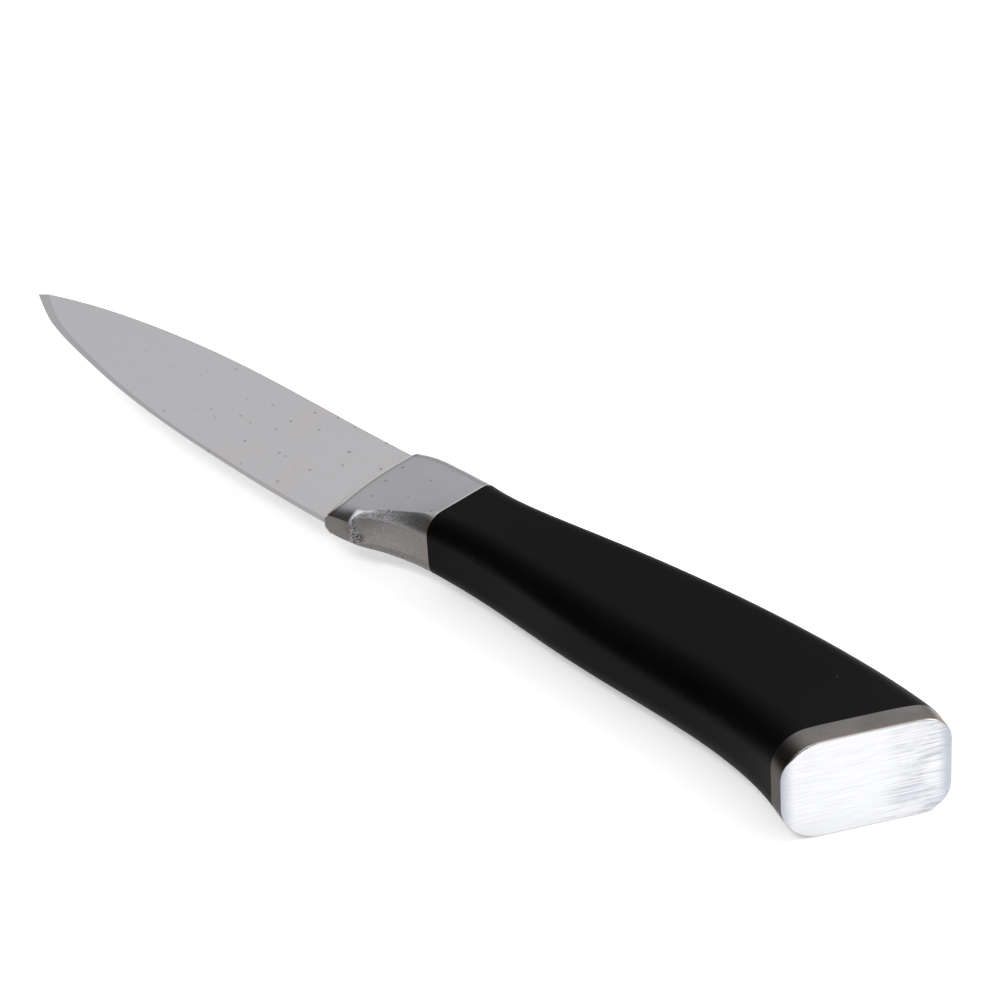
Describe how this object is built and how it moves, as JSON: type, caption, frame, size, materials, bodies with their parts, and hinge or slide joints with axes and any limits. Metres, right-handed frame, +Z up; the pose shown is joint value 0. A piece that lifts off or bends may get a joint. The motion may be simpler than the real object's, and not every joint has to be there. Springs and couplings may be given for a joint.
{
  "type": "paring knife",
  "caption": "Small kitchen paring knife with a pointed satin steel blade, a scooped steel bolster, a black moulded grip and a slanted brushed steel butt cap.",
  "frame": {"origin": "centre of the underside of the bounding box, with the knife lying on its flank", "axes": "+X from the blade's point to the butt, +Y from the cutting edge to the spine, +Z up through the thickness"},
  "size_m": [0.2094, 0.0286, 0.0177],
  "materials": {
    "blade_steel": "satin ground stainless steel",
    "bolster_steel": "satin finished cast stainless steel",
    "cap_steel": "brushed stainless steel",
    "grip_plastic": "black moulded plastic with a satin skin",
    "core_plastic": "black recycled moulding",
    "strap_steel": "mill finish mild steel",
    "weld_steel": "weld metal"
  },
  "bodies": {
    "root": {"blade": "blade_steel", "bolster": "bolster_steel", "bolster_welds": "weld_steel", "tang_strap": "strap_steel", "stub_rivets": "strap_steel", "core_left": "core_plastic", "core_right": "core_plastic", "grip": "grip_plastic", "butt_cap": "cap_steel", "cap_lug": "strap_steel", "lug_rivets": "strap_steel"}
  },
  "joints": []
}
